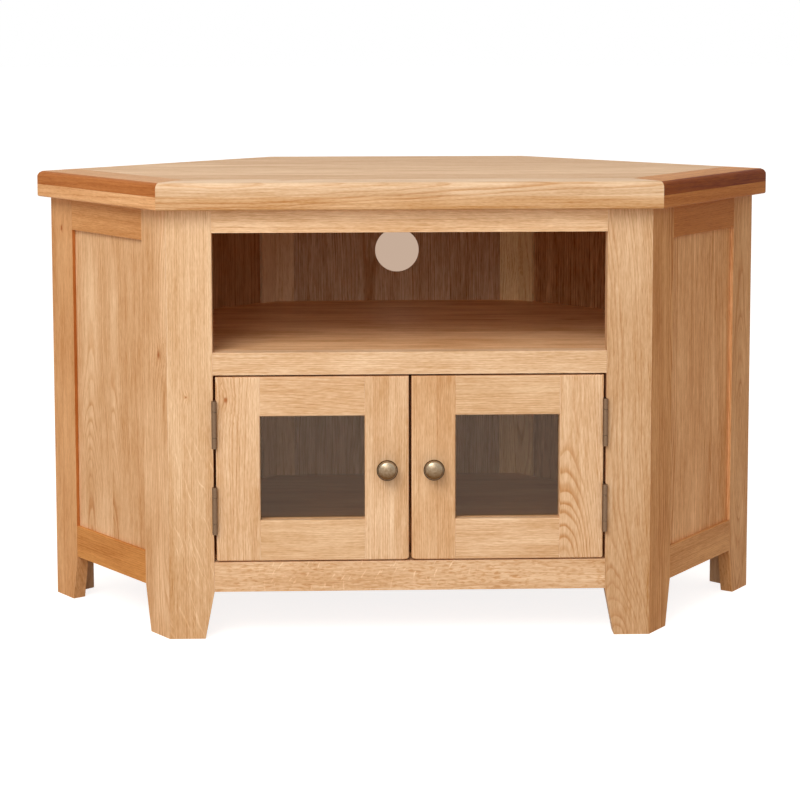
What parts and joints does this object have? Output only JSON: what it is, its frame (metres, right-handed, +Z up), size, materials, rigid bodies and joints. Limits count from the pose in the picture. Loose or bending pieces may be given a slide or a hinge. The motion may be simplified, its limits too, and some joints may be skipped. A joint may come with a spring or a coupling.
{
  "type": "corner tv unit",
  "caption": "Oak corner television cabinet with slanted framed sides, an open shelf bay with a cable hole, and glazed hinged doors below.",
  "frame": {"origin": "on the floor, midway across the width and midway between the front and back edges of the top", "axes": "+X to the right as seen from in front, +Y from the doors to the room's corner, +Z up"},
  "size_m": [1, 0.555, 0.59],
  "materials": {
    "frame_oak": "satin lacquered solid oak",
    "top_oak": "satin lacquered solid oak",
    "panel_oak": "satin lacquered oak veneer",
    "door_glass": "clear float glass with a slight bronze tint",
    "antique_brass": "antiqued brass, satin",
    "steel": "zinc plated",
    "catch_plastic": "brown moulded"
  },
  "bodies": {
    "cabinet": {"back_panel": "panel_oak", "back_post_left": "frame_oak", "back_post_right": "frame_oak", "back_rails": "frame_oak", "back_stile_left": "frame_oak", "back_stile_right": "frame_oak", "board_cleats": "frame_oak", "floor_board": "panel_oak", "front_bottom_rail": "frame_oak", "front_middle_rail": "frame_oak", "front_stile_left": "frame_oak", "front_stile_right": "frame_oak", "front_top_rail": "frame_oak", "hinge_and_catch_screws": "steel", "hinge_pins": "antique_brass", "hinge_post_leaves": "antique_brass", "magnetic_catches": "catch_plastic", "shelf": "panel_oak", "side_bottom_rail_left": "frame_oak", "side_bottom_rail_right": "frame_oak", "side_front_stile_left": "frame_oak", "side_front_stile_right": "frame_oak", "side_panel_left": "panel_oak", "side_panel_right": "panel_oak", "side_rear_stile_left": "frame_oak", "side_rear_stile_right": "frame_oak", "side_top_rail_left": "frame_oak", "side_top_rail_right": "frame_oak", "top_back_edging": "top_oak", "top_field": "top_oak", "top_fixing_blocks": "top_oak", "top_fixing_screws": "steel", "top_front_board": "top_oak", "top_front_edging": "top_oak", "top_side_board_left": "top_oak", "top_side_board_right": "top_oak", "top_side_edging_left": "top_oak", "top_side_edging_right": "top_oak", "wall_panel_left": "panel_oak", "wall_panel_right": "panel_oak"},
    "door_left": {"door_bottom_rail_left": "frame_oak", "door_glass_left": "door_glass", "door_glazing_beads_left": "frame_oak", "door_hinge_stile_left": "frame_oak", "door_meeting_stile_left": "frame_oak", "door_screws_left": "steel", "door_strike_plate_left": "steel", "door_top_rail_left": "frame_oak", "hinge_door_leaves_left": "antique_brass", "knob_left": "antique_brass"},
    "door_right": {"door_bottom_rail_right": "frame_oak", "door_glass_right": "door_glass", "door_glazing_beads_right": "frame_oak", "door_hinge_stile_right": "frame_oak", "door_meeting_stile_right": "frame_oak", "door_screws_right": "steel", "door_strike_plate_right": "steel", "door_top_rail_right": "frame_oak", "hinge_door_leaves_right": "antique_brass", "knob_right": "antique_brass"}
  },
  "joints": [
    {"name": "door_left_hinge", "type": "hinge", "parent": "cabinet", "child": "door_left", "pos_m": [-0.2502, -0.2612, 0.2215], "axis": [0, 0, -1], "range_deg": [0, 180]},
    {"name": "door_right_hinge", "type": "hinge", "parent": "cabinet", "child": "door_right", "pos_m": [0.2502, -0.2612, 0.2215], "axis": [0, 0, 1], "range_deg": [0, 180]}
  ]
}
